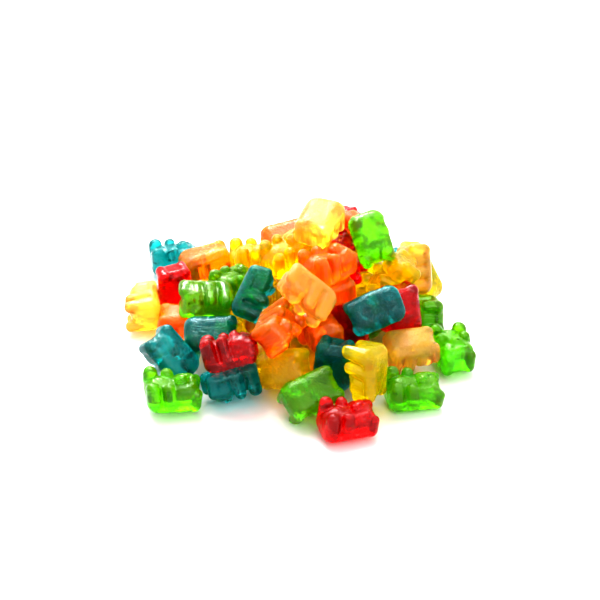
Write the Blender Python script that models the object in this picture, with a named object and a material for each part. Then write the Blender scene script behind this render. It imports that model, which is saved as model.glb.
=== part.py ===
"""A heap of moulded jelly bears lying on a bare surface, as one lumpy solid.

Sizes are in millimetres and become metres where a mesh is made. The surface that the heap lies on is the
plane z = 0, with +X to the right of the heap's front, -Y out of the front and +Z up. A bear's own frame has
its head along +Z, its face along -Y and its back near y = 0.
"""

from typing import NamedTuple

import bmesh
import bpy
from mathutils import Matrix, Vector

# One moulded bear
BEAR_LENGTH = 20.0
BEAR_WIDTH = 13.2
BEAR_DEPTH = 13.2
HEAD_LENGTH = 9.4
BELLY_DEPTH = 10.4
EDGE_ROUND = 2.6
LEG_RADIUS = 2.7
ARM_RADIUS = 2.2
EAR_RADIUS = 2.1
SNOUT_RADIUS = 2.5
EDGE_STEPS = 2
BALL_STEPS = 2

# The fill under the outer bears, a cone that stays inside them
CORE_PLACE = (3.0, 7.0)
CORE_FOOT_RADIUS = 42.0
CORE_TOP_RADIUS = 3.0
CORE_HEIGHT = 42.0
CORE_SIDES = 32
CORE_SINK = 3.0

# The outline's grain
SKIN_CELL = 1.1
SKIN_SMOOTHING = 2
SKIN_KEPT = 0.08
CUTTER_SIDE = 300.0

# The middle of the heap's foot, so that its bounding box stands centred on the origin
HEAP_MIDDLE = (-0.5, 3.8)

MM = 0.001


class Bear(NamedTuple):
    """Where a bear lies: the middle of its body in millimetres, where its head points and where its face looks."""

    at: tuple
    head: tuple
    face: tuple


# Each bear as it lies, from the front of the heap to the back. The directions need not be of unit length.
FRONT_ROW = (
    Bear((16, -51, 7), (4, 1, 0), (0, -1, 6)),
    Bear((4, -40, 8), (4, 2, 1), (-1, 2, -3)),
    Bear((-43, -38, 9), (6, 1, 0), (0, -1, 6)),
    Bear((-22, -31, 8), (-6, -1, 0), (0, -2, -4)),
    Bear((39, -36, 8), (4, 1, 0), (0, -1, 5)),
    Bear((23, -35, 15), (1, -1, -4), (-3, 2, 0)),
    Bear((-5, -26, 10), (4, -1, 2), (1, 3, -2)),
    Bear((12, -24, 12), (0, 1, 4), (1, 4, 0)),
    Bear((39, -15, 10), (4, 1, 0), (0, 1, -4)),
    Bear((-45, -18, 10), (-5, 0, 4), (-2, 4, -3)),
    Bear((55, -9, 8), (1, -4, 0), (0, 0, 1)),
)
FRONT_SLOPE = (
    Bear((-24, -31, 20), (4, 1, 3), (-2, 2, 3)),
    Bear((-6, -23, 24), (-1, -5, 1), (2, 0, 2)),
    Bear((8, -13, 16), (1, -3, 0), (-1, 0, -3)),
    Bear((-31, -9, 12), (3, 1, 0), (0, 2, -3)),
    Bear((27, -10, 24), (-3, 0, -1), (0, 5, -3)),
    Bear((3, -17, 34), (-2, 0, 1), (-1, -2, -2)),
    Bear((18, -4, 14), (1, 1, -2), (1, 3, 1)),
    Bear((-15, -3, 26), (2, 2, 3), (4, -1, -2)),
    Bear((-33, 4, 18), (-5, 0, -1), (0, -6, 1)),
    Bear((36, 2, 18), (0, 1, 4), (-1, 2, 0)),
)
SIDES = (
    Bear((-42, 6, 8), (-5, 0, 1), (0, 1, -5)),
    Bear((-58, 20, 8), (0, 1, 0), (-5, -1, 0)),
    Bear((-47, 27, 12), (0, 0, 1), (-2, 5, 0)),
    Bear((-24, 22, 17), (3, 4, 0), (0, -1, 3)),
    Bear((45, 15, 8), (1, -2, 0), (-2, -1, -1)),
    Bear((25, 9, 12), (1, 3, 0), (0, 0, 1)),
    Bear((45, 36, 9), (-1, 1, 3), (-3, 2, 0)),
)
TOP = (
    Bear((10, -4, 39), (3, 3, 0), (0, -1, 4)),
    Bear((12, 2, 26), (1, -3, 0), (0, 0, -1)),
    Bear((8, 12, 46), (-1, -3, -1), (0, 1, -3)),
    Bear((17, 15, 31), (-1, 1, 3), (4, -2, -1)),
    Bear((34, 14, 24), (3, 1, 3), (-3, 0, 3)),
    Bear((25, 26, 17), (1, 0, 3), (1, 3, 0)),
    Bear((27, 20, 36), (2, -4, -6), (1, 8, -5)),
    Bear((16, 28, 33), (1, 0, 3), (1, -3, 0)),
)
BACK = (
    Bear((-4, 19, 32), (3, 3, 1), (0, -1, 3)),
    Bear((18, 44, 29), (1, 3, 0), (1, 0, 3)),
    Bear((42, 25, 20), (1, 1, 4), (-4, -1, 1)),
    Bear((-16, 38, 19), (4, 1, 0), (-1, 0, 3)),
    Bear((-4, 33, 28), (4, 1, 1), (0, 1, -3)),
    Bear((37, 48, 10), (4, 1, 2), (-1, 0, 2)),
    Bear((-36, 50, 9), (4, 1, 1), (0, 0, -1)),
    Bear((-49, 59, 8), (5, 1, 0), (0, 0, 1)),
)
WITHIN = (
    Bear((-15, -9, 9), (3, 1, 0), (0, 0, 1)),
    Bear((3, -4, 7), (1, 3, 0), (0, 0, 1)),
    Bear((-28, 9, 7), (1, 2, 0), (0, 0, 1)),
    Bear((-9, 10, 8), (2, -1, 0), (0, 0, 1)),
    Bear((10, 14, 7), (1, 0, 0), (0, 0, 1)),
    Bear((-21, 28, 8), (2, 1, 0), (0, 0, 1)),
    Bear((0, 31, 8), (1, 1, 0), (0, 0, 1)),
    Bear((18, 39, 7), (3, 1, 0), (0, 0, 1)),
    Bear((35, 25, 7), (1, 3, 0), (0, 0, 1)),
    Bear((-17, 48, 8), (3, 1, 0), (0, 0, 1)),
    Bear((10, 50, 8), (3, -1, 0), (0, 0, 1)),
    Bear((-2, 9, 21), (2, 1, 0), (0, 0, 1)),
    Bear((13, 40, 17), (3, 1, 0), (0, 0, 1)),
)


def clear_scene():
    """Removes what the scene holds at the start."""
    for thing in list(bpy.data.objects):
        bpy.data.objects.remove(thing)


def turned(bear):
    """The matrix that takes a bear from its own frame to its place in the heap, in millimetres."""
    head = Vector(bear.head).normalized()
    face = Vector(bear.face)
    face = (face - head * face.dot(head)).normalized()
    right = (-face).cross(head)
    turn = Matrix((right, -face, head)).transposed().to_4x4()
    middle = Vector((0, -BEAR_DEPTH / 2, BEAR_LENGTH / 2))
    place = Vector((bear.at[0] - HEAP_MIDDLE[0], bear.at[1] - HEAP_MIDDLE[1], bear.at[2]))
    return Matrix.Translation(place) @ turn @ Matrix.Translation(-middle)


def add_block(mesh, matrix, middle, size):
    """Adds a block with rounded edges, given by its middle and its three sides."""
    shape = Matrix.Translation(middle) @ Matrix.Diagonal((*size, 1))
    made = bmesh.ops.create_cube(mesh, size=1, matrix=shape)
    edges = {edge for vertex in made["verts"] for edge in vertex.link_edges}
    rounded = bmesh.ops.bevel(
        mesh, geom=list(edges), offset=EDGE_ROUND, segments=EDGE_STEPS, profile=0.5, affect="EDGES"
    )
    corners = {vertex for face in rounded["faces"] for vertex in face.verts}
    bmesh.ops.transform(mesh, matrix=matrix, verts=list(corners))


def add_ball(mesh, matrix, middle, radii):
    """Adds an ellipsoid, given by its middle and its three radii."""
    shape = matrix @ Matrix.Translation(middle) @ Matrix.Diagonal((*radii, 1))
    bmesh.ops.create_icosphere(mesh, subdivisions=BALL_STEPS, radius=1, matrix=shape)


def add_bear(mesh, bear):
    """Adds one bear as overlapping blocks and balls: body, head, snout, and a limb and an ear on each side."""
    matrix = turned(bear)
    body_length = BEAR_LENGTH - HEAD_LENGTH + EDGE_ROUND
    head_middle = BEAR_LENGTH - 1 - HEAD_LENGTH / 2
    add_block(mesh, matrix, (0, -BELLY_DEPTH / 2, body_length / 2), (BEAR_WIDTH - 1, BELLY_DEPTH, body_length))
    add_block(mesh, matrix, (0, -BELLY_DEPTH / 2, head_middle), (BEAR_WIDTH - 1.2, BELLY_DEPTH, HEAD_LENGTH))
    add_ball(mesh, matrix, (0, -BELLY_DEPTH, head_middle - 1.2), (SNOUT_RADIUS,) * 3)
    reach = BEAR_DEPTH / 2
    for side in (-1, 1):
        leg = (side * (BEAR_WIDTH / 2 - LEG_RADIUS), -reach, LEG_RADIUS)
        arm = (side * (BEAR_WIDTH / 2 - ARM_RADIUS), -reach + 0.4, body_length - 2 * ARM_RADIUS)
        ear = (side * (BEAR_WIDTH / 2 - EAR_RADIUS), -reach + 1.6, BEAR_LENGTH - EAR_RADIUS)
        add_ball(mesh, matrix, leg, (LEG_RADIUS, reach, LEG_RADIUS))
        add_ball(mesh, matrix, arm, (ARM_RADIUS, reach - 0.6, ARM_RADIUS))
        add_ball(mesh, matrix, ear, (EAR_RADIUS, reach - 2.4, EAR_RADIUS))


def add_core(mesh):
    """Adds the cone that fills the heap under its outer bears, sunk a little below the surface it lies on."""
    depth = CORE_HEIGHT + CORE_SINK
    middle = (CORE_PLACE[0] - HEAP_MIDDLE[0], CORE_PLACE[1] - HEAP_MIDDLE[1], depth / 2 - CORE_SINK)
    bmesh.ops.create_cone(
        mesh,
        cap_ends=True,
        segments=CORE_SIDES,
        radius1=CORE_FOOT_RADIUS,
        radius2=CORE_TOP_RADIUS,
        depth=depth,
        matrix=Matrix.Translation(middle),
    )


def jelly():
    """The heap's material: mixed fruit jelly, smooth and a little dull from its oil."""
    material = bpy.data.materials.new("mixed_fruit_jelly")
    material.use_nodes = True
    shader = material.node_tree.nodes["Principled BSDF"]
    shader.inputs["Base Color"].default_value = (0.85, 0.33, 0.01, 1)
    shader.inputs["Roughness"].default_value = 0.25
    shader.inputs["Metallic"].default_value = 0
    return material


def surface_cutter():
    """The block whose top is the surface under the heap. It only cuts, so it is left out of renders."""
    mesh = bmesh.new()
    middle = Matrix.Translation((0, 0, -CUTTER_SIDE / 2 * MM))
    bmesh.ops.create_cube(mesh, size=CUTTER_SIDE * MM, matrix=middle)
    data = bpy.data.meshes.new("surface_cutter")
    mesh.to_mesh(data)
    mesh.free()
    cutter = bpy.data.objects.new("surface_cutter", data)
    cutter.display_type = "WIRE"
    cutter.hide_render = True
    bpy.context.collection.objects.link(cutter)
    return cutter


def outer_shell(heap):
    """The heap's mesh with its skin made and thinned, less the small pockets that the bears close in between them."""
    bpy.context.view_layer.update()
    finished = heap.evaluated_get(bpy.context.evaluated_depsgraph_get())
    mesh = bmesh.new()
    mesh.from_mesh(finished.to_mesh())
    finished.to_mesh_clear()
    waiting = set(mesh.verts)
    shells = []
    while waiting:
        shell = {waiting.pop()}
        edge_of_shell = set(shell)
        while edge_of_shell:
            near = {edge.other_vert(vertex) for vertex in edge_of_shell for edge in vertex.link_edges}
            edge_of_shell = near - shell
            shell |= edge_of_shell
        waiting -= shell
        shells.append(shell)
    largest = max(shells, key=len)
    bmesh.ops.delete(mesh, geom=[vertex for vertex in mesh.verts if vertex not in largest], context="VERTS")
    data = bpy.data.meshes.new("gummy_heap")
    mesh.to_mesh(data)
    mesh.free()
    return data


def gummy_heap():
    """The heap: all the bears and the fill under one skin, cut flat where it lies."""
    mesh = bmesh.new()
    add_core(mesh)
    for bear in FRONT_ROW + FRONT_SLOPE + SIDES + TOP + BACK + WITHIN:
        add_bear(mesh, bear)
    bmesh.ops.scale(mesh, vec=(MM, MM, MM), verts=mesh.verts)
    data = bpy.data.meshes.new("gummy_heap")
    mesh.to_mesh(data)
    mesh.free()
    heap = bpy.data.objects.new("gummy_heap", data)
    bpy.context.collection.objects.link(heap)

    skin = heap.modifiers.new("skin", "REMESH")
    skin.mode = "VOXEL"
    skin.voxel_size = SKIN_CELL * MM
    soften = heap.modifiers.new("soften", "SMOOTH")
    soften.factor = 0.5
    soften.iterations = SKIN_SMOOTHING
    thin = heap.modifiers.new("thin", "DECIMATE")
    thin.ratio = SKIN_KEPT
    heap.data = outer_shell(heap)
    heap.data.materials.append(jelly())
    heap.modifiers.clear()
    cut = heap.modifiers.new("flat_foot", "BOOLEAN")
    cut.operation = "DIFFERENCE"
    cut.solver = "EXACT"
    cut.object = surface_cutter()
    return heap


def main():
    """Builds the heap as one named object."""
    clear_scene()
    gummy_heap()


main()
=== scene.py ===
"""A heap of clear fruit-jelly bears in six flavours, lying loose on a white surface.

Lengths are in millimetres until a mesh is made, which is in metres. A bear's own frame has its head along +Z,
its face along -Y and its back near y = 0. The heap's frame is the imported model's, with its front along -Y.
"""

import logging
import math
from dataclasses import dataclass, field
from enum import Enum
from typing import NamedTuple

import bpy
import numpy as np
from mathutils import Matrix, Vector

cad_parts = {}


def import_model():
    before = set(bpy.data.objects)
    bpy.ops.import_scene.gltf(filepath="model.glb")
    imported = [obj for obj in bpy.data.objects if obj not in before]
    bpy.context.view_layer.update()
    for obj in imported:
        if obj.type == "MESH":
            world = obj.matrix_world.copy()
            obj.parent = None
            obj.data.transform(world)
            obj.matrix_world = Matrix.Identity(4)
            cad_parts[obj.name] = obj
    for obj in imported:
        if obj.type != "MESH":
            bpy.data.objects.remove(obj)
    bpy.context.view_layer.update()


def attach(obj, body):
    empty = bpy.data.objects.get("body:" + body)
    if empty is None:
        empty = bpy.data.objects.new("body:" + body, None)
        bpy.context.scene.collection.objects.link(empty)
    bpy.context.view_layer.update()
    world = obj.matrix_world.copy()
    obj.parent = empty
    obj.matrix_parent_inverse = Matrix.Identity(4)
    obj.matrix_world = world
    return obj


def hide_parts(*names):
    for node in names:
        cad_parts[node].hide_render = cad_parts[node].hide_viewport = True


MM = 0.001
NODE = "gummy_heap"
LOG = logging.getLogger("jelly_bears")

Point = tuple[float, float, float]


class Flavour(Enum):
    """The six kinds of jelly in the heap."""

    RED = "red"
    ORANGE = "orange"
    YELLOW = "yellow"
    PALE = "pale"
    GREEN = "green"
    TEAL = "teal"


class Lie(NamedTuple):
    """How one bear lies: its flavour, the middle of its body, where its head points and where its face looks."""

    flavour: Flavour
    at: Point
    head: Point
    face: Point


# The bears that lie on the outside, from the front of the heap to the back.
FRONT_ROW = (
    Lie(Flavour.RED, (16, -51, 7), (4, 1, 0), (0, -1, 6)),
    Lie(Flavour.GREEN, (4, -40, 8), (4, 2, 1), (-1, 2, -3)),
    Lie(Flavour.GREEN, (-43, -38, 9), (6, 1, 0), (0, -1, 6)),
    Lie(Flavour.TEAL, (-22, -31, 8), (-6, -1, 0), (0, -2, -4)),
    Lie(Flavour.GREEN, (39, -36, 8), (4, 1, 0), (0, -1, 5)),
    Lie(Flavour.YELLOW, (23, -35, 15), (1, -1, -4), (-3, 2, 0)),
    Lie(Flavour.YELLOW, (-5, -26, 10), (4, -1, 2), (1, 3, -2)),
    Lie(Flavour.TEAL, (12, -24, 12), (0, 1, 4), (1, 4, 0)),
    Lie(Flavour.PALE, (39, -15, 10), (4, 1, 0), (0, 1, -4)),
    Lie(Flavour.TEAL, (-45, -18, 10), (-5, 0, 4), (-2, 4, -3)),
    Lie(Flavour.GREEN, (55, -9, 8), (1, -4, 0), (0, 0, 1)),
)
FRONT_SLOPE = (
    Lie(Flavour.RED, (-24, -31, 20), (4, 1, 3), (-2, 2, 3)),
    Lie(Flavour.ORANGE, (-6, -23, 24), (-1, -5, 1), (2, 0, 2)),
    Lie(Flavour.ORANGE, (8, -13, 16), (1, -3, 0), (-1, 0, -3)),
    Lie(Flavour.TEAL, (-31, -9, 12), (3, 1, 0), (0, 2, -3)),
    Lie(Flavour.TEAL, (27, -10, 24), (-3, 0, -1), (0, 5, -3)),
    Lie(Flavour.PALE, (3, -17, 34), (-2, 0, 1), (-1, -2, -2)),
    Lie(Flavour.RED, (18, -4, 14), (1, 1, -2), (1, 3, 1)),
    Lie(Flavour.TEAL, (-15, -3, 26), (2, 2, 3), (4, -1, -2)),
    Lie(Flavour.GREEN, (-33, 4, 18), (-5, 0, -1), (0, -6, 1)),
    Lie(Flavour.RED, (36, 2, 18), (0, 1, 4), (-1, 2, 0)),
)
SIDES = (
    Lie(Flavour.ORANGE, (-42, 6, 8), (-5, 0, 1), (0, 1, -5)),
    Lie(Flavour.PALE, (-58, 20, 8), (0, 1, 0), (-5, -1, 0)),
    Lie(Flavour.RED, (-47, 27, 12), (0, 0, 1), (-2, 5, 0)),
    Lie(Flavour.GREEN, (-24, 22, 17), (3, 4, 0), (0, -1, 3)),
    Lie(Flavour.GREEN, (45, 15, 8), (1, -2, 0), (-2, -1, -1)),
    Lie(Flavour.GREEN, (25, 9, 12), (1, 3, 0), (0, 0, 1)),
    Lie(Flavour.YELLOW, (45, 36, 9), (-1, 1, 3), (-3, 2, 0)),
)
TOP = (
    Lie(Flavour.ORANGE, (10, -4, 39), (3, 3, 0), (0, -1, 4)),
    Lie(Flavour.ORANGE, (12, 2, 26), (1, -3, 0), (0, 0, -1)),
    Lie(Flavour.PALE, (8, 12, 46), (-1, -3, -1), (0, 1, -3)),
    Lie(Flavour.RED, (17, 15, 31), (-1, 1, 3), (4, -2, -1)),
    Lie(Flavour.YELLOW, (34, 14, 24), (3, 1, 3), (-3, 0, 3)),
    Lie(Flavour.YELLOW, (25, 26, 17), (1, 0, 3), (1, 3, 0)),
    Lie(Flavour.GREEN, (27, 20, 36), (2, -4, -6), (1, 8, -5)),
    Lie(Flavour.ORANGE, (16, 28, 33), (1, 0, 3), (1, -3, 0)),
)
BACK = (
    Lie(Flavour.YELLOW, (-4, 19, 32), (3, 3, 1), (0, -1, 3)),
    Lie(Flavour.RED, (18, 44, 29), (1, 3, 0), (1, 0, 3)),
    Lie(Flavour.PALE, (42, 25, 20), (1, 1, 4), (-4, -1, 1)),
    Lie(Flavour.YELLOW, (-16, 38, 19), (4, 1, 0), (-1, 0, 3)),
    Lie(Flavour.ORANGE, (-4, 33, 28), (4, 1, 1), (0, 1, -3)),
    Lie(Flavour.TEAL, (37, 48, 10), (4, 1, 2), (-1, 0, 2)),
    Lie(Flavour.ORANGE, (-36, 50, 9), (4, 1, 1), (0, 0, -1)),
    Lie(Flavour.TEAL, (-49, 59, 8), (5, 1, 0), (0, 0, 1)),
)
# The bears inside the heap and behind it, which show only through the others.
WITHIN = (
    Lie(Flavour.PALE, (-15, -9, 9), (3, 1, 0), (0, 0, 1)),
    Lie(Flavour.YELLOW, (3, -4, 7), (1, 3, 0), (0, 0, 1)),
    Lie(Flavour.YELLOW, (-28, 9, 7), (1, 2, 0), (0, 0, 1)),
    Lie(Flavour.PALE, (-9, 10, 8), (2, -1, 0), (0, 0, 1)),
    Lie(Flavour.ORANGE, (10, 14, 7), (1, 0, 0), (0, 0, 1)),
    Lie(Flavour.YELLOW, (-21, 28, 8), (2, 1, 0), (0, 0, 1)),
    Lie(Flavour.PALE, (0, 31, 8), (1, 1, 0), (0, 0, 1)),
    Lie(Flavour.YELLOW, (18, 39, 7), (3, 1, 0), (0, 0, 1)),
    Lie(Flavour.PALE, (35, 25, 7), (1, 3, 0), (0, 0, 1)),
    Lie(Flavour.PALE, (-17, 48, 8), (3, 1, 0), (0, 0, 1)),
    Lie(Flavour.GREEN, (10, 50, 8), (3, -1, 0), (0, 0, 1)),
    Lie(Flavour.YELLOW, (-2, 9, 21), (2, 1, 0), (0, 0, 1)),
    Lie(Flavour.YELLOW, (13, 40, 17), (3, 1, 0), (0, 0, 1)),
)
HEAP_MIDDLE = (-0.5, 3.8)


def linear(code: str) -> tuple[float, float, float]:
    """Turns an sRGB hex code into linear red, green and blue.

    Args:
        code: The colour as six hex digits.

    Returns:
        The three channels from 0 to 1.
    """
    shares = [int(code[place : place + 2], 16) / 255 for place in (0, 2, 4)]
    return tuple(s / 12.92 if s <= 0.04045 else ((s + 0.055) / 1.055) ** 2.4 for s in shares)


def add_node(tree: bpy.types.NodeTree, kind: str, settings: dict, inputs: dict) -> bpy.types.Node:
    """Adds a node to a tree with its settings, its values and its links.

    Args:
        tree: The tree that gets the node.
        kind: The node's type.
        settings: The node's own properties, by name.
        inputs: A value, or the socket to link from, for each input, by its name or its number.

    Returns:
        The new node.
    """
    node = tree.nodes.new(kind)
    for name, value in settings.items():
        setattr(node, name, value)
    for name, value in inputs.items():
        if isinstance(value, bpy.types.NodeSocket):
            tree.links.new(value, node.inputs[name])
        else:
            node.inputs[name].default_value = value
    return node


def melt(one: np.ndarray, other: np.ndarray, width: np.ndarray | float) -> np.ndarray:
    """Joins two distance fields with a fillet.

    Args:
        one: The first shape's distances.
        other: The second shape's distances.
        width: The fillet's width.

    Returns:
        The distances to the joined shape.
    """
    share = np.clip(0.5 + 0.5 * (other - one) / width, 0, 1)
    return other * (1 - share) + one * share - width * share * (1 - share)


def carve(one: np.ndarray, other: np.ndarray, width: float) -> np.ndarray:
    """Cuts the second distance field out of the first, with a softened edge."""
    return -melt(-one, other, width)


@dataclass(frozen=True)
class Block:
    """A block with rounded edges."""

    middle: Point
    half: Point
    rounding: float

    def distance(self, points: np.ndarray) -> np.ndarray:
        """Gives the distance of each point from the block's skin, below zero inside."""
        out = np.abs(points - np.array(self.middle)) - (np.array(self.half) - self.rounding)
        return np.linalg.norm(np.maximum(out, 0), axis=-1) + np.minimum(out.max(-1), 0) - self.rounding


@dataclass(frozen=True)
class Ball:
    """An ellipsoid."""

    middle: Point
    radii: Point

    def distance(self, points: np.ndarray) -> np.ndarray:
        """Gives about the distance of each point from the ball's skin, below zero inside."""
        away = points - np.array(self.middle)
        radii = np.array(self.radii)
        reach = np.linalg.norm(away / radii, axis=-1)
        slope = np.linalg.norm(away / (radii * radii), axis=-1)
        return reach * (reach - 1) / np.maximum(slope, 1e-9)


@dataclass(frozen=True)
class Limb:
    """A tapered bar with round ends."""

    root: Point
    tip: Point
    root_radius: float
    tip_radius: float

    def distance(self, points: np.ndarray) -> np.ndarray:
        """Gives about the distance of each point from the limb's skin, below zero inside."""
        root = np.array(self.root, float)
        along = np.array(self.tip, float) - root
        share = np.clip(((points - root) @ along) / (along @ along), 0, 1)
        nearest = root + share[..., None] * along
        radius = self.root_radius + (self.tip_radius - self.root_radius) * share
        return np.linalg.norm(points - nearest, axis=-1) - radius


@dataclass(frozen=True)
class BearMould:
    """The shape that every bear is cast in: a bear that sits against a flat, round-edged back.

    What is stated for one side is on both sides.
    """

    low: Point = (-8.6, -15.0, -1.3)
    high: Point = (8.6, 2.2, 21.5)
    middle: Point = (0, -6.6, 9.6)
    plate: Block = Block((0, -1.8, 9.55), (7.0, 1.8, 9.55), 1.7)
    waist: Block = Block((0, -4.6, 6.4), (5.3, 4.4, 6.2), 3.0)
    trunk: Block = Block((0, -5.6, 6.3), (4.9, 5.1, 5.6), 3.2)
    belly: Ball = Ball((0, -6.0, 5.8), (4.4, 5.3, 4.8))
    skull: Block = Block((0, -5.4, 14.2), (6.0, 5.3, 4.5), 3.4)
    leg: Limb = Limb((4.3, -2.4, 3.1), (4.3, -10.7, 3.0), 3.0, 2.5)
    arm: Limb = Limb((4.5, -2.2, 8.9), (4.2, -10.2, 8.6), 2.6, 2.15)
    snout: Ball = Ball((0, -10.2, 13.0), (2.7, 2.4, 2.2))
    nose: Ball = Ball((0, -12.3, 13.8), (0.85, 0.5, 0.6))
    pillow: Block = Block((0, -9.0, 9.5), (7.1, 9.0, 9.6), 4.4)
    ear: Limb = Limb((4.1, -2.6, 17.0), (4.3, -6.8, 17.8), 2.4, 2.0)
    eye: Ball = Ball((2.2, -10.8, 15.8), (0.65, 0.8, 0.6))
    mouth: Limb = Limb((0, -12.5, 12.2), (1.1, -11.9, 11.8), 0.25, 0.25)
    groove_depth: float = 5.0
    groove_fillet: float = 0.45
    back_fillet: float = 1.3

    def distance(self, points: np.ndarray) -> np.ndarray:
        """Gives about the distance of each point from the bear's skin.

        Args:
            points: Points in the bear's own frame.

        Returns:
            The distances, below zero inside the bear.
        """
        mirrored = np.stack([np.abs(points[..., 0]), points[..., 1], points[..., 2]], -1)
        nearness = np.clip(1 + points[..., 1] / self.groove_depth, 0, 1)
        fillet = self.groove_fillet + self.back_fillet * nearness**1.5
        skin = melt(self.plate.distance(points), self.waist.distance(points), 1.2)
        skin = melt(skin, self.trunk.distance(points), 1.0)
        skin = melt(skin, self.belly.distance(points), 0.8)
        skin = melt(skin, self.skull.distance(points), 0.3 + 1.4 * nearness)
        skin = melt(skin, self.leg.distance(mirrored), fillet)
        skin = melt(skin, self.arm.distance(mirrored), fillet)
        skin = melt(skin, self.snout.distance(points), 0.8)
        skin = melt(skin, self.nose.distance(points), 0.35)
        skin = carve(skin, -self.pillow.distance(points), 0.6)
        skin = melt(skin, self.ear.distance(mirrored), 0.6)
        skin = carve(skin, self.eye.distance(mirrored), 0.3)
        return carve(skin, self.mouth.distance(mirrored), 0.25)


@dataclass(frozen=True)
class Net:
    """A net of four-sided faces laid over a shape that is known by its distance field."""

    cell: float
    pulls: int = 3
    probe: float = 0.02
    longest_pull: float = 0.3

    def lay(self, mould: BearMould) -> tuple[np.ndarray, np.ndarray]:
        """Lays the net over the mould, with one point in each cell that the skin crosses.

        Args:
            mould: The shape to cover.

        Returns:
            The net's points, and the four corners of each face.
        """
        low = np.array(mould.low)
        count = np.ceil((np.array(mould.high) - low) / self.cell).astype(int) + 1
        ruler = [low[axis] + self.cell * np.arange(count[axis]) for axis in range(3)]
        value = mould.distance(np.stack(np.meshgrid(*ruler, indexing="ij"), -1))
        inside = value < 0
        corners = [np.array((i, j, k)) for i in (0, 1) for j in (0, 1) for k in (0, 1)]
        filled = sum(inside[tuple(slice(c, n - 1 + c) for c, n in zip(corner, count))].astype(int) for corner in corners)
        crossed = (filled > 0) & (filled < 8)
        cells = np.argwhere(crossed)
        number = np.full(crossed.shape, -1)
        number[tuple(cells.T)] = np.arange(len(cells))
        points = low + self.cell * (cells + self._crossing(cells, value, corners))
        return self._pulled(points, mould), self._faces(inside, number, count)

    @staticmethod
    def _crossing(cells: np.ndarray, value: np.ndarray, corners: list[np.ndarray]) -> np.ndarray:
        """Gives the middle of the places where the skin crosses each cell's edges, as shares of a cell."""
        total = np.zeros((len(cells), 3))
        crossings = np.zeros(len(cells))
        for corner in corners:
            for axis in range(3):
                if corner[axis]:
                    continue
                step = np.eye(3, dtype=int)[axis]
                start = value[tuple((cells + corner).T)]
                end = value[tuple((cells + corner + step).T)]
                crosses = (start < 0) != (end < 0)
                share = np.where(crosses, start / np.where(crosses, start - end, 1), 0)
                total += np.where(crosses[:, None], corner + share[:, None] * step, 0)
                crossings += crosses
        return total / crossings[:, None]

    @staticmethod
    def _faces(inside: np.ndarray, number: np.ndarray, count: np.ndarray) -> np.ndarray:
        """Gives the face round each grid edge that the skin crosses, turned outwards."""
        faces = []
        for axis in range(3):
            step = np.eye(3, dtype=int)[axis]
            starts = inside[tuple(slice(0, n - s) for n, s in zip(count, step))]
            ends = inside[tuple(slice(s, None) for s in step)]
            edges = np.argwhere(starts != ends)
            first, second = (np.eye(3, dtype=int)[other] for other in range(3) if other != axis)
            rounds = [edges - first - second, edges - second, edges, edges - first]
            quads = np.stack([number[tuple(cell.T)] for cell in rounds], 1)
            outwards = starts[tuple(edges.T)] != (axis == 1)
            faces.append(np.where(outwards[:, None], quads, quads[:, ::-1]))
        return np.concatenate(faces)

    def _pulled(self, points: np.ndarray, mould: BearMould) -> np.ndarray:
        """Pulls each point along the field's slope onto the skin."""
        for _ in range(self.pulls):
            steps = self.probe * np.eye(3)
            slope = [mould.distance(points + step) - mould.distance(points - step) for step in steps]
            slope = np.stack(slope, -1) / (2 * self.probe)
            slope /= np.maximum((slope**2).sum(-1, keepdims=True), 1e-6)
            move = mould.distance(points)[:, None] * slope
            points = points - np.clip(move, -self.longest_pull, self.longest_pull)
        return points


class DistanceTable:
    def __init__(self, mould: BearMould, cell: float = 0.6, margin: float = 0.7) -> None:
        """Fills the table.

        Args:
            mould: The shape whose field is kept.
            cell: The grid's spacing.
            margin: How far the grid reaches past the mould's box.
        """
        self.low = np.array(mould.low) - margin
        self.cell = cell
        self.count = np.ceil((np.array(mould.high) + margin - self.low) / cell).astype(int) + 1
        ruler = [self.low[axis] + cell * np.arange(self.count[axis]) for axis in range(3)]
        self.value = mould.distance(np.stack(np.meshgrid(*ruler, indexing="ij"), -1))
        self.slope = np.stack(np.gradient(self.value, cell), -1)

    def look_up(self, points: np.ndarray) -> tuple[np.ndarray, np.ndarray]:
        """Reads the field between the grid's points.

        Args:
            points: Points in the bear's own frame.

        Returns:
            The distance at each point, a large one outside the table, and the field's slope there.
        """
        place = (points - self.low) / self.cell
        base = np.clip(np.floor(place).astype(int), 0, self.count - 2)
        share = place - base
        known = np.all((share >= 0) & (share <= 1), -1)
        share = np.clip(share, 0, 1)
        distance = np.zeros(len(points))
        slope = np.zeros_like(points)
        for corner in np.ndindex(2, 2, 2):
            weight = np.prod(np.where(corner, share, 1 - share), -1)
            where = tuple((base + np.array(corner)).T)
            distance += weight * self.value[where]
            slope += weight[:, None] * self.slope[where]
        return np.where(known, distance, 9.0), slope


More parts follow.
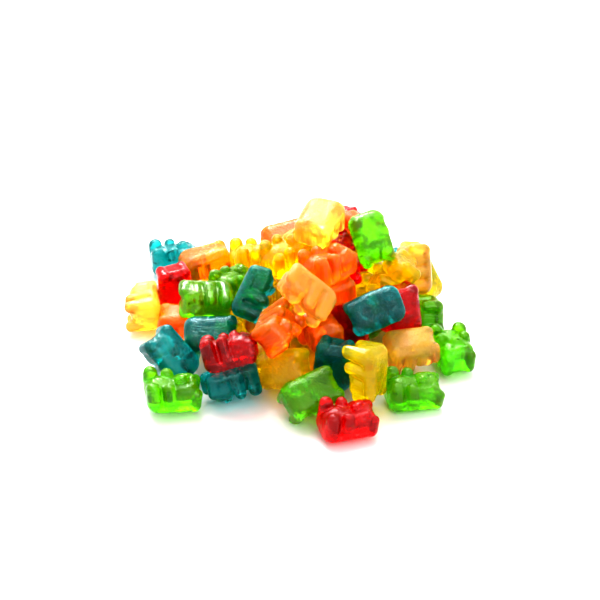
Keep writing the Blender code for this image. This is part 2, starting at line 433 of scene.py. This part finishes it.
@dataclass
class Heap:
    """The bears' places, which give way until no bear cuts into another or into the surface.

    A bear on the outside moves mostly along the line of sight from the heap's front, and one inside moves freely.
    """

    lies: tuple[Lie, ...]
    held: np.ndarray
    front: np.ndarray
    mould: BearMould
    rounds: int = 200
    free_rounds: int = 40
    gap: float = 0.1
    reach: float = 24.0
    bear_radius: float = 12.6
    turning: float = 42.0
    stiffness: float = 0.6
    haste: float = 1.3
    pull_across: float = 0.25
    pull_along: float = 0.02
    pull_turn: float = 0.04
    at: np.ndarray = field(init=False)
    turn: np.ndarray = field(init=False)

    def __post_init__(self) -> None:
        """Places the bears as their lies state."""
        self.at = np.array([lie.at for lie in self.lies], float)
        self.turn = np.array([self._turned(lie) for lie in self.lies])

    @staticmethod
    def _turned(lie: Lie) -> np.ndarray:
        """Gives the matrix whose columns are the bear's own axes in the heap's frame."""
        head = np.array(lie.head, float)
        head /= np.linalg.norm(head)
        face = np.array(lie.face, float)
        face -= head * (face @ head)
        face /= np.linalg.norm(face)
        return np.stack([np.cross(-face, head), -face, head], 1)

    @staticmethod
    def _spins(turns: np.ndarray) -> np.ndarray:
        """Gives the rotation matrix of each turn, which is an axis as long as its angle."""
        angle = np.linalg.norm(turns, axis=-1)
        axis = turns / np.maximum(angle, 1e-9)[:, None]
        cross = np.zeros((len(turns), 3, 3))
        cross[:, 2, 1], cross[:, 0, 2], cross[:, 1, 0] = axis.T
        cross = cross - cross.transpose(0, 2, 1)
        sine = np.sin(angle)[:, None, None]
        rest = (1 - np.cos(angle))[:, None, None]
        return np.eye(3) + sine * cross + rest * (cross @ cross)

    def settle(self) -> float:
        """Moves and turns the bears apart, round by round.

        Returns:
            The deepest cut that is left, in millimetres.
        """
        samples = Net(cell=2.1, pulls=2).lay(self.mould)[0] - np.array(self.mould.middle)
        table = DistanceTable(self.mould)
        start, start_turn = self.at.copy(), self.turn.copy()
        across = np.eye(3) - np.outer(self.front, self.front)
        deepest = 0.0
        for number in range(self.rounds):
            skin = self.at[:, None] + np.einsum("nij,mj->nmi", self.turn, samples)
            move, turn, touches, deepest = self._contacts(skin, table)
            self._rest_on_surface(skin, move, turn, touches)
            rate = (self.haste / np.sqrt(np.maximum(touches, 1)))[:, None]
            self.at += move * rate
            self.turn = self._spins(turn * rate) @ self.turn
            fade = 1 - number / (self.rounds - self.free_rounds)
            if fade <= 0:
                continue
            off = start - self.at
            self.at += (off @ across) * (self.pull_across * fade * self.held)[:, None] + off * self.pull_along * fade
            back = start_turn @ self.turn.transpose(0, 2, 1)
            axis = np.stack([back[:, 2, 1] - back[:, 1, 2], back[:, 0, 2] - back[:, 2, 0], back[:, 1, 0] - back[:, 0, 1]], 1)
            self.turn = self._spins(axis * (self.pull_turn / 2 * fade * (0.3 + self.held))[:, None]) @ self.turn
        return deepest

    def _contacts(self, skin: np.ndarray, table: DistanceTable) -> tuple[np.ndarray, np.ndarray, np.ndarray, float]:
        """Finds where bears cut into each other and how each has to give way.

        Args:
            skin: Points on every bear's skin, in the heap's frame.
            table: The mould's distance field.

        Returns:
            Each bear's move, its turn, its number of contacts, and the deepest cut.
        """
        move, turn = np.zeros_like(self.at), np.zeros_like(self.at)
        touches = np.zeros(len(self.at))
        apart = np.linalg.norm(self.at[:, None] - self.at[None], axis=-1)
        one, other = np.nonzero((apart < self.reach) & (apart > 0))
        away = skin[one] - self.at[other][:, None]
        pair, point = np.nonzero((away**2).sum(-1) < self.bear_radius**2)
        local = np.einsum("kji,kj->ki", self.turn[other[pair]], away[pair, point]) + np.array(self.mould.middle)
        distance, slope = table.look_up(local)
        depth = np.zeros(away.shape[:2])
        depth[pair, point] = np.clip(self.gap - distance, 0, None)
        slopes = np.zeros(away.shape)
        slopes[pair, point] = slope
        hit = np.nonzero(depth.max(1) > 1e-3)[0]
        one, other, cut = one[hit], other[hit], depth.max(1)[hit]
        weight = depth[hit] ** 2
        contact = (skin[one] * weight[..., None]).sum(1) / weight.sum(1)[:, None]
        normal = np.einsum("kij,kj->ki", self.turn[other], (slopes[hit] * weight[..., None]).sum(1))
        normal /= np.maximum(np.linalg.norm(normal, axis=1), 1e-6)[:, None]
        arm_one = np.cross(contact - self.at[one], normal)
        arm_other = np.cross(contact - self.at[other], normal)
        give_one = 1 - self.stiffness * self.held[one]
        give_other = 1 - self.stiffness * self.held[other]
        yielding = give_one * (1 + (arm_one**2).sum(1) / self.turning)
        yielding += give_other * (1 + (arm_other**2).sum(1) / self.turning)
        push = cut / yielding
        for who, arm, amount in ((one, arm_one, push * give_one), (other, arm_other, -push * give_other)):
            np.add.at(move, who, amount[:, None] * normal)
            np.add.at(turn, who, amount[:, None] * arm / self.turning)
            np.add.at(touches, who, 1)
        return move, turn, touches, float(cut.max(initial=0.0))

    def _rest_on_surface(self, skin: np.ndarray, move: np.ndarray, turn: np.ndarray, touches: np.ndarray) -> None:
        """Adds to each bear's move and turn what lifts it out of the surface."""
        sunk = np.clip(-skin[..., 2], 0, None)
        low = np.nonzero(sunk.max(1) > 1e-3)[0]
        if not len(low):
            return
        weight = sunk[low] ** 2
        contact = (skin[low] * weight[..., None]).sum(1) / weight.sum(1)[:, None]
        arm = np.cross(contact - self.at[low], (0.0, 0.0, 1.0))
        push = 1.5 * sunk[low].max(1) / (1 + (arm**2).sum(1) / self.turning)
        move[low, 2] += push
        turn[low] += arm / self.turning * push[:, None]
        touches[low] += 1


@dataclass(frozen=True)
class JellyFinish:
    """Clear gelatine jelly, cast in starch moulds and tumbled in a little oil and wax.

    Light goes right through it and is coloured by the depth that it crosses. The wax gives a broad, soft sheen, and
    the mould leaves faint ribs and an uneven skin.
    """

    flavour: Flavour
    body: str
    tint: str
    tint_depth: float
    ior: float = 1.38
    gloss: float = 0.2
    roughness: float = 0.07
    clearness: float = 0.95
    haze_reach: float = 8.0
    wax_weight: float = 0.08
    wax_roughness: float = 0.32
    streak_width: float = 0.9
    streak_length: float = 9.0
    streak_height: float = 0.35
    dimple_width: float = 2.4
    dimple_height: float = 0.15

    def absorption(self) -> tuple[tuple[float, float, float], float]:
        """Works out what the jelly takes from light.

        Returns:
            The absorption colour, and the density for each metre, that leave the tint after its depth.
        """
        taken = [-math.log(share) / (self.tint_depth * MM) for share in linear(self.tint)]
        density = max(taken)
        return tuple(1 - part / density for part in taken), density

    def material(self) -> bpy.types.Material:
        """Builds the jelly's material.

        Returns:
            The material, with its relief on the place in the mould that each point keeps.
        """
        material = bpy.data.materials.new(f"{self.flavour.value}_fruit_jelly")
        material.use_nodes = True
        tree = material.node_tree
        tree.nodes.clear()
        place = add_node(tree, "ShaderNodeAttribute", {"attribute_name": "mould_place"}, {}).outputs["Vector"]
        stretched = add_node(
            tree,
            "ShaderNodeVectorMath",
            {"operation": "DIVIDE"},
            {0: place, 1: (self.streak_width, self.streak_length, self.streak_width)},
        )
        streaks = add_node(
            tree, "ShaderNodeTexNoise", {}, {"Vector": stretched.outputs["Vector"], "Scale": 1.0, "Detail": 2.0}
        )
        dimples = add_node(tree, "ShaderNodeTexNoise", {}, {"Vector": place, "Scale": 1 / self.dimple_width, "Detail": 1.0})
        streaked = add_node(
            tree,
            "ShaderNodeBump",
            {},
            {"Height": streaks.outputs["Fac"], "Strength": 1.0, "Distance": self.streak_height * MM},
        )
        relief = add_node(
            tree,
            "ShaderNodeBump",
            {},
            {
                "Height": dimples.outputs["Fac"],
                "Strength": 1.0,
                "Distance": self.dimple_height * MM,
                "Normal": streaked.outputs["Normal"],
            },
        )
        body = add_node(
            tree,
            "ShaderNodeBsdfPrincipled",
            {},
            {
                "Base Color": (*linear(self.body), 1),
                "Roughness": self.roughness,
                "IOR": self.ior,
                "Specular IOR Level": self.gloss,
                "Transmission Weight": self.clearness,
                "Subsurface Weight": 1.0,
                "Subsurface Radius": (1.0, 1.0, 1.0),
                "Subsurface Scale": self.haze_reach * MM,
                "Coat Weight": self.wax_weight,
                "Coat Roughness": self.wax_roughness,
                "Normal": relief.outputs["Normal"],
            },
        )
        colour, density = self.absorption()
        depth = add_node(tree, "ShaderNodeVolumeAbsorption", {}, {"Color": (*colour, 1), "Density": density})
        add_node(
            tree,
            "ShaderNodeOutputMaterial",
            {},
            {"Surface": body.outputs["BSDF"], "Volume": depth.outputs["Volume"]},
        )
        return material


FINISHES = (
    JellyFinish(Flavour.RED, body="F4141C", tint="EC3034", tint_depth=9.0, clearness=0.92),
    JellyFinish(Flavour.ORANGE, body="FFA404", tint="FFDC18", tint_depth=9.0, clearness=0.85),
    JellyFinish(Flavour.YELLOW, body="FFEC04", tint="FFF420", tint_depth=9.0, clearness=0.88),
    JellyFinish(Flavour.PALE, body="F4D070", tint="FFECB4", tint_depth=10.0, clearness=0.84),
    JellyFinish(Flavour.GREEN, body="9CD810", tint="B4E40C", tint_depth=9.0, clearness=0.9),
    JellyFinish(Flavour.TEAL, body="20C4C4", tint="20C4C4", tint_depth=9.0, clearness=0.93),
)


@dataclass
class BearKind:
    """All the bears of one flavour, cast from the one mould and joined into one piece."""

    finish: JellyFinish
    cast: bpy.types.Object
    unevenness: float = 1.2
    uneven_width: float = 20.0
    firm_foot: float = 9.0

    def scatter_tree(self) -> bpy.types.NodeTree:
        """Builds the node tree that puts a bear on each point and makes the bears a little uneven.

        Returns:
            The tree, with its inputs named.
        """
        tree = bpy.data.node_groups.new(f"{self.finish.flavour.value}_bears", "GeometryNodeTree")
        tree.interface.new_socket("Places", in_out="INPUT", socket_type="NodeSocketGeometry")
        for name, kind in (
            ("Bear", "NodeSocketObject"),
            ("Unevenness", "NodeSocketFloat"),
            ("Uneven Width", "NodeSocketFloat"),
            ("Firm Foot", "NodeSocketFloat"),
            ("Jelly", "NodeSocketMaterial"),
        ):
            tree.interface.new_socket(name, in_out="INPUT", socket_type=kind)
        tree.interface.new_socket("Bears", in_out="OUTPUT", socket_type="NodeSocketGeometry")
        given = tree.nodes.new("NodeGroupInput").outputs
        bear = add_node(tree, "GeometryNodeObjectInfo", {}, {"Object": given["Bear"]})
        axes = [
            add_node(tree, "GeometryNodeInputNamedAttribute", {"data_type": "FLOAT_VECTOR"}, {"Name": name})
            for name in ("head", "back")
        ]
        turn = add_node(
            tree,
            "FunctionNodeAxesToRotation",
            {"primary_axis": "Z", "secondary_axis": "Y"},
            {"Primary Axis": axes[0].outputs["Attribute"], "Secondary Axis": axes[1].outputs["Attribute"]},
        )
        bears = add_node(
            tree,
            "GeometryNodeInstanceOnPoints",
            {},
            {"Points": given["Places"], "Instance": bear.outputs["Geometry"], "Rotation": turn.outputs["Rotation"]},
        )
        joined = add_node(tree, "GeometryNodeRealizeInstances", {}, {"Geometry": bears.outputs["Instances"]})
        place = add_node(tree, "GeometryNodeInputPosition", {}, {}).outputs["Position"]
        pitch = add_node(tree, "ShaderNodeMath", {"operation": "DIVIDE"}, {0: 1.0, 1: given["Uneven Width"]})
        swell = add_node(
            tree,
            "ShaderNodeTexNoise",
            {"noise_dimensions": "3D", "normalize": True},
            {"Vector": place, "Scale": pitch.outputs[0], "Detail": 0.0},
        )
        centred = add_node(
            tree, "ShaderNodeVectorMath", {"operation": "SUBTRACT"}, {0: swell.outputs["Color"], 1: (0.5, 0.5, 0.5)}
        )
        moved = add_node(
            tree,
            "ShaderNodeVectorMath",
            {"operation": "SCALE"},
            {0: centred.outputs["Vector"], "Scale": given["Unevenness"]},
        )
        parts = add_node(tree, "ShaderNodeSeparateXYZ", {}, {"Vector": moved.outputs["Vector"]})
        height = add_node(tree, "ShaderNodeSeparateXYZ", {}, {"Vector": place})
        loose = add_node(
            tree,
            "ShaderNodeMapRange",
            {"interpolation_type": "SMOOTHSTEP"},
            {"Value": height.outputs["Z"], "From Min": 0.0, "From Max": given["Firm Foot"]},
        )
        lift = add_node(
            tree, "ShaderNodeMath", {"operation": "MULTIPLY"}, {0: parts.outputs["Z"], 1: loose.outputs["Result"]}
        )
        offset = add_node(
            tree,
            "ShaderNodeCombineXYZ",
            {},
            {"X": parts.outputs["X"], "Y": parts.outputs["Y"], "Z": lift.outputs[0]},
        )
        uneven = add_node(
            tree,
            "GeometryNodeSetPosition",
            {},
            {"Geometry": joined.outputs["Geometry"], "Offset": offset.outputs["Vector"]},
        )
        dressed = add_node(
            tree,
            "GeometryNodeSetMaterial",
            {},
            {"Geometry": uneven.outputs["Geometry"], "Material": given["Jelly"]},
        )
        add_node(tree, "NodeGroupOutput", {}, {"Bears": dressed.outputs["Geometry"]})
        return tree

    def build(self, heap: Heap) -> bpy.types.Object:
        """Makes the piece.

        Args:
            heap: The settled heap, whose bears of this flavour are made.

        Returns:
            One plain mesh object at the origin.
        """
        name = f"{self.finish.flavour.value}_bears"
        chosen = [number for number, lie in enumerate(heap.lies) if lie.flavour is self.finish.flavour]
        middle = np.array([*HEAP_MIDDLE, 0.0])
        points = bpy.data.meshes.new(f"{name}_places")
        points.from_pydata(((heap.at[chosen] - middle) * MM).tolist(), [], [])
        for label, column in (("head", 2), ("back", 1)):
            axis = points.attributes.new(label, "FLOAT_VECTOR", "POINT")
            axis.data.foreach_set("vector", heap.turn[chosen][:, :, column].ravel())
        carrier = bpy.data.objects.new(f"{name}_places", points)
        bpy.context.collection.objects.link(carrier)
        scatter = carrier.modifiers.new("scatter", "NODES")
        scatter.node_group = self.scatter_tree()
        values = {
            "Bear": self.cast,
            "Unevenness": self.unevenness * 2 * MM,
            "Uneven Width": self.uneven_width * MM,
            "Firm Foot": self.firm_foot * MM,
            "Jelly": self.finish.material(),
        }
        for socket in scatter.node_group.interface.items_tree:
            if socket.name in values:
                scatter[socket.identifier] = values[socket.name]
        bpy.context.view_layer.update()
        whole = carrier.evaluated_get(bpy.context.evaluated_depsgraph_get())
        mesh = bpy.data.meshes.new_from_object(whole)
        mesh.name = name
        mesh.shade_smooth()
        bpy.data.objects.remove(carrier)
        piece = bpy.data.objects.new(name, mesh)
        bpy.context.collection.objects.link(piece)
        LOG.info("%s: %d bears, %d faces", name, len(chosen), len(mesh.polygons))
        return piece


@dataclass(frozen=True)
class Softbox:
    """A square lamp with a wide, even face."""

    name: str
    at: Point
    aim: Point
    side: float
    power: float

    def build(self) -> bpy.types.Object:
        """Makes the lamp and turns it to its aim."""
        lamp = bpy.data.lights.new(self.name, "AREA")
        lamp.shape = "SQUARE"
        lamp.size = self.side
        lamp.energy = self.power
        holder = bpy.data.objects.new(self.name, lamp)
        bpy.context.collection.objects.link(holder)
        holder.location = self.at
        holder.rotation_euler = (Vector(self.aim) - Vector(self.at)).to_track_quat("-Z", "Y").to_euler()
        return holder


@dataclass(frozen=True)
class Studio:
    """The white surface, the lamps, the bright room and the camera. Lengths are in metres."""

    surface_side: float = 6.0
    surface_drop: float = 0.0001
    surface_white: str = "BCBCBC"
    room_white: str = "FFFFFF"
    room_strength: float = 1.3
    lens: float = 100.0
    sensor: float = 36.0
    distance: float = 0.597
    elevation: float = 30.0
    aim: Point = (0.0012, -0.0038, 0.0224)
    boxes: tuple[Softbox, ...] = (
        Softbox("top_softbox", at=(-0.1, 0.25, 0.6), aim=(0, 0, 0.02), side=0.6, power=6.0),
        Softbox("front_softbox", at=(0.25, -0.6, 0.45), aim=(0, 0, 0.02), side=0.4, power=1.5),
        Softbox("back_softbox", at=(-0.12, 0.35, 0.42), aim=(0, 0, 0.02), side=0.14, power=1.2),
    )

    def front(self) -> np.ndarray:
        """Gives the direction from the heap to the camera."""
        tilt = math.radians(self.elevation)
        return np.array((0.0, -math.cos(tilt), math.sin(tilt)))

    def build(self) -> None:
        """Makes the surface, the lamps, the room and the camera, and sets how the picture is shown."""
        self._surface()
        for box in self.boxes:
            box.build()
        world = bpy.data.worlds.new("white_room")
        world.use_nodes = True
        background = world.node_tree.nodes["Background"]
        background.inputs["Color"].default_value = (*linear(self.room_white), 1)
        background.inputs["Strength"].default_value = self.room_strength
        scene = bpy.context.scene
        scene.world = world
        scene.view_settings.view_transform = "Standard"
        scene.view_settings.look = "Very High Contrast"
        scene.cycles.max_bounces = 32
        scene.cycles.transmission_bounces = 32
        self._camera()

    def _surface(self) -> None:
        """Lays the matt white surface just under the bears."""
        half = self.surface_side / 2
        corners = [(x * half, y * half, -self.surface_drop) for x, y in ((-1, -1), (1, -1), (1, 1), (-1, 1))]
        mesh = bpy.data.meshes.new("white_surface")
        mesh.from_pydata(corners, [], [(0, 1, 2, 3)])
        paint = bpy.data.materials.new("matt_white_laminate")
        paint.use_nodes = True
        shader = paint.node_tree.nodes["Principled BSDF"]
        shader.inputs["Base Color"].default_value = (*linear(self.surface_white), 1)
        shader.inputs["Roughness"].default_value = 0.5
        mesh.materials.append(paint)
        surface = bpy.data.objects.new("white_surface", mesh)
        bpy.context.collection.objects.link(surface)

    def _camera(self) -> None:
        """Stands the camera in front of the heap and aims it."""
        data = bpy.data.cameras.new("camera")
        data.lens = self.lens
        data.sensor_width = self.sensor
        camera = bpy.data.objects.new("camera", data)
        bpy.context.collection.objects.link(camera)
        camera.location = Vector(self.aim) + Vector(self.front()) * self.distance
        camera.rotation_euler = (math.radians(90 - self.elevation), 0, 0)
        bpy.context.scene.camera = camera


def cast_bear(mould: BearMould, cell: float) -> bpy.types.Object:
    """Makes one bear as a mesh about the middle of its body.

    Args:
        mould: The shape of the bear.
        cell: The width of the mesh's faces, in millimetres.

    Returns:
        The bear, which every flavour copies, with each point's place in the mould kept in an attribute.
    """
    points, faces = Net(cell=cell).lay(mould)
    points -= np.array(mould.middle)
    mesh = bpy.data.meshes.new("bear")
    mesh.from_pydata((points * MM).tolist(), [], faces.tolist())
    mesh.shade_smooth()
    place = mesh.attributes.new("mould_place", "FLOAT_VECTOR", "POINT")
    place.data.foreach_set("vector", points.ravel())
    bear = bpy.data.objects.new("bear", mesh)
    bpy.context.collection.objects.link(bear)
    return bear


def main() -> None:
    """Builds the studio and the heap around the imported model."""
    logging.basicConfig(level=logging.INFO, format="%(message)s")
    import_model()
    studio = Studio()
    studio.build()
    mould = BearMould()
    outer = FRONT_ROW + FRONT_SLOPE + SIDES + TOP + BACK
    held = np.array([1.0] * len(outer) + [0.0] * len(WITHIN))
    heap = Heap(outer + WITHIN, held, studio.front(), mould)
    LOG.info("deepest cut left between bears: %.2f mm", heap.settle())
    cast = cast_bear(mould, cell=0.45)
    for finish in FINISHES:
        piece = BearKind(finish, cast).build(heap)
        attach(piece, "root")
        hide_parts(NODE)
    bpy.data.objects.remove(cast)


if __name__ == "__main__":
    main()
